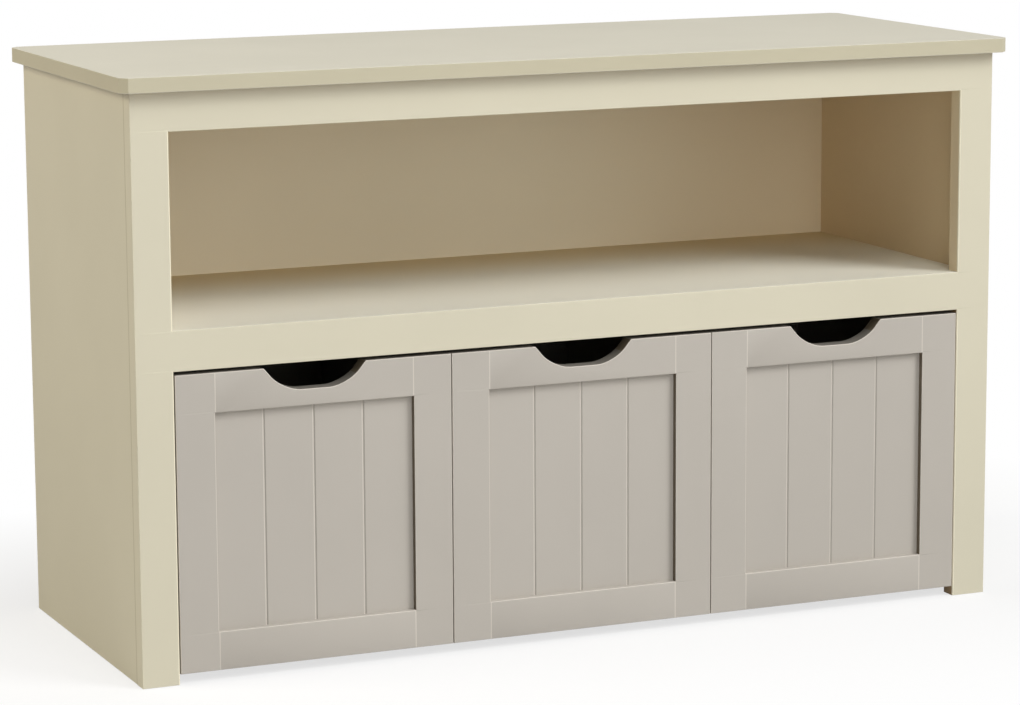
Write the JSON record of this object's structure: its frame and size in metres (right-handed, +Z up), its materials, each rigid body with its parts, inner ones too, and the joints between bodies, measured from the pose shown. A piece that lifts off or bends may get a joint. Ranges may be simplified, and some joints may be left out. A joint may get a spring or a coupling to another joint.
{
  "type": "toy storage unit",
  "caption": "Low cabinet with an open shelf over roll-out toy boxes, framed fronts with grooved panels and scooped hand cut-outs, overhanging top board.",
  "frame": {"origin": "on the floor, under the middle of the top board", "axes": "+Z up, +X along the cabinet to the right seen from the front, the front faces -Y"},
  "size_m": [1.04, 0.405, 0.64],
  "materials": {
    "cream_paint": "satin paint on board",
    "grey_paint": "satin paint on board",
    "box_board": "satin paint on board",
    "beech_dowels": "bare turned beech",
    "zinc_screws": "zinc plated",
    "pressed_steel": "zinc plated pressing",
    "wheel_nylon": "moulded nylon"
  },
  "bodies": {
    "carcass": {"top_board": "cream_paint", "left_side_panel": "cream_paint", "right_side_panel": "cream_paint", "left_front_stile": "cream_paint", "right_front_stile": "cream_paint", "top_front_rail": "cream_paint", "middle_front_rail": "cream_paint", "shelf_board": "cream_paint", "back_panel": "cream_paint", "back_top_rail": "cream_paint", "back_bottom_rail": "cream_paint", "shelf_cleats": "cream_paint", "top_cleats": "cream_paint", "carcass_screws": "zinc_screws", "frame_dowels": "beech_dowels"},
    "left_bin": {"left_bin_front_panel": "grey_paint", "left_bin_front_left_stile": "grey_paint", "left_bin_front_right_stile": "grey_paint", "left_bin_front_top_rail": "grey_paint", "left_bin_front_bottom_rail": "grey_paint", "left_bin_left_side": "box_board", "left_bin_right_side": "box_board", "left_bin_back": "box_board", "left_bin_bottom": "box_board", "left_bin_castor_frames": "pressed_steel", "left_bin_castor_screws": "zinc_screws"},
    "left_bin_wheel_front_left": {"left_bin_wheel_front_left": "wheel_nylon"},
    "left_bin_wheel_front_right": {"left_bin_wheel_front_right": "wheel_nylon"},
    "left_bin_wheel_back_left": {"left_bin_wheel_back_left": "wheel_nylon"},
    "left_bin_wheel_back_right": {"left_bin_wheel_back_right": "wheel_nylon"},
    "middle_bin": {"middle_bin_front_panel": "grey_paint", "middle_bin_front_left_stile": "grey_paint", "middle_bin_front_right_stile": "grey_paint", "middle_bin_front_top_rail": "grey_paint", "middle_bin_front_bottom_rail": "grey_paint", "middle_bin_left_side": "box_board", "middle_bin_right_side": "box_board", "middle_bin_back": "box_board", "middle_bin_bottom": "box_board", "middle_bin_castor_frames": "pressed_steel", "middle_bin_castor_screws": "zinc_screws"},
    "middle_bin_wheel_front_left": {"middle_bin_wheel_front_left": "wheel_nylon"},
    "middle_bin_wheel_front_right": {"middle_bin_wheel_front_right": "wheel_nylon"},
    "middle_bin_wheel_back_left": {"middle_bin_wheel_back_left": "wheel_nylon"},
    "middle_bin_wheel_back_right": {"middle_bin_wheel_back_right": "wheel_nylon"},
    "right_bin": {"right_bin_front_panel": "grey_paint", "right_bin_front_left_stile": "grey_paint", "right_bin_front_right_stile": "grey_paint", "right_bin_front_top_rail": "grey_paint", "right_bin_front_bottom_rail": "grey_paint", "right_bin_left_side": "box_board", "right_bin_right_side": "box_board", "right_bin_back": "box_board", "right_bin_bottom": "box_board", "right_bin_castor_frames": "pressed_steel", "right_bin_castor_screws": "zinc_screws"},
    "right_bin_wheel_front_left": {"right_bin_wheel_front_left": "wheel_nylon"},
    "right_bin_wheel_front_right": {"right_bin_wheel_front_right": "wheel_nylon"},
    "right_bin_wheel_back_left": {"right_bin_wheel_back_left": "wheel_nylon"},
    "right_bin_wheel_back_right": {"right_bin_wheel_back_right": "wheel_nylon"}
  },
  "joints": [
    {"name": "left_bin_roll", "type": "slide", "parent": "carcass", "child": "left_bin", "axis": [0, -1, 0], "range_m": [0, 0.36]},
    {"name": "left_bin_wheel_front_left_spin", "type": "hinge", "parent": "left_bin", "child": "left_bin_wheel_front_left", "pos_m": [-0.419, -0.1085, 0.02], "axis": [1, 0, 0], "range_deg": [0, 1032]},
    {"name": "left_bin_wheel_front_right_spin", "type": "hinge", "parent": "left_bin", "child": "left_bin_wheel_front_right", "pos_m": [-0.20167, -0.1085, 0.02], "axis": [1, 0, 0], "range_deg": [0, 1032]},
    {"name": "left_bin_wheel_back_left_spin", "type": "hinge", "parent": "left_bin", "child": "left_bin_wheel_back_left", "pos_m": [-0.419, 0.1072, 0.02], "axis": [1, 0, 0], "range_deg": [0, 1032]},
    {"name": "left_bin_wheel_back_right_spin", "type": "hinge", "parent": "left_bin", "child": "left_bin_wheel_back_right", "pos_m": [-0.20167, 0.1072, 0.02], "axis": [1, 0, 0], "range_deg": [0, 1032]},
    {"name": "middle_bin_roll", "type": "slide", "parent": "carcass", "child": "middle_bin", "axis": [0, -1, 0], "range_m": [0, 0.36]},
    {"name": "middle_bin_wheel_front_left_spin", "type": "hinge", "parent": "middle_bin", "child": "middle_bin_wheel_front_left", "pos_m": [-0.10867, -0.1085, 0.02], "axis": [1, 0, 0], "range_deg": [0, 1032]},
    {"name": "middle_bin_wheel_front_right_spin", "type": "hinge", "parent": "middle_bin", "child": "middle_bin_wheel_front_right", "pos_m": [0.10867, -0.1085, 0.02], "axis": [1, 0, 0], "range_deg": [0, 1032]},
    {"name": "middle_bin_wheel_back_left_spin", "type": "hinge", "parent": "middle_bin", "child": "middle_bin_wheel_back_left", "pos_m": [-0.10867, 0.1072, 0.02], "axis": [1, 0, 0], "range_deg": [0, 1032]},
    {"name": "middle_bin_wheel_back_right_spin", "type": "hinge", "parent": "middle_bin", "child": "middle_bin_wheel_back_right", "pos_m": [0.10867, 0.1072, 0.02], "axis": [1, 0, 0], "range_deg": [0, 1032]},
    {"name": "right_bin_roll", "type": "slide", "parent": "carcass", "child": "right_bin", "axis": [0, -1, 0], "range_m": [0, 0.36]},
    {"name": "right_bin_wheel_front_left_spin", "type": "hinge", "parent": "right_bin", "child": "right_bin_wheel_front_left", "pos_m": [0.20167, -0.1085, 0.02], "axis": [1, 0, 0], "range_deg": [0, 1032]},
    {"name": "right_bin_wheel_front_right_spin", "type": "hinge", "parent": "right_bin", "child": "right_bin_wheel_front_right", "pos_m": [0.419, -0.1085, 0.02], "axis": [1, 0, 0], "range_deg": [0, 1032]},
    {"name": "right_bin_wheel_back_left_spin", "type": "hinge", "parent": "right_bin", "child": "right_bin_wheel_back_left", "pos_m": [0.20167, 0.1072, 0.02], "axis": [1, 0, 0], "range_deg": [0, 1032]},
    {"name": "right_bin_wheel_back_right_spin", "type": "hinge", "parent": "right_bin", "child": "right_bin_wheel_back_right", "pos_m": [0.419, 0.1072, 0.02], "axis": [1, 0, 0], "range_deg": [0, 1032]}
  ],
  "couplings": [
    {"joint": "left_bin_wheel_front_left_spin", "follows": "left_bin_roll", "rad_per_m": 50},
    {"joint": "left_bin_wheel_front_right_spin", "follows": "left_bin_roll", "rad_per_m": 50},
    {"joint": "left_bin_wheel_back_left_spin", "follows": "left_bin_roll", "rad_per_m": 50},
    {"joint": "left_bin_wheel_back_right_spin", "follows": "left_bin_roll", "rad_per_m": 50},
    {"joint": "middle_bin_wheel_front_left_spin", "follows": "middle_bin_roll", "rad_per_m": 50},
    {"joint": "middle_bin_wheel_front_right_spin", "follows": "middle_bin_roll", "rad_per_m": 50},
    {"joint": "middle_bin_wheel_back_left_spin", "follows": "middle_bin_roll", "rad_per_m": 50},
    {"joint": "middle_bin_wheel_back_right_spin", "follows": "middle_bin_roll", "rad_per_m": 50},
    {"joint": "right_bin_wheel_front_left_spin", "follows": "right_bin_roll", "rad_per_m": 50},
    {"joint": "right_bin_wheel_front_right_spin", "follows": "right_bin_roll", "rad_per_m": 50},
    {"joint": "right_bin_wheel_back_left_spin", "follows": "right_bin_roll", "rad_per_m": 50},
    {"joint": "right_bin_wheel_back_right_spin", "follows": "right_bin_roll", "rad_per_m": 50}
  ]
}
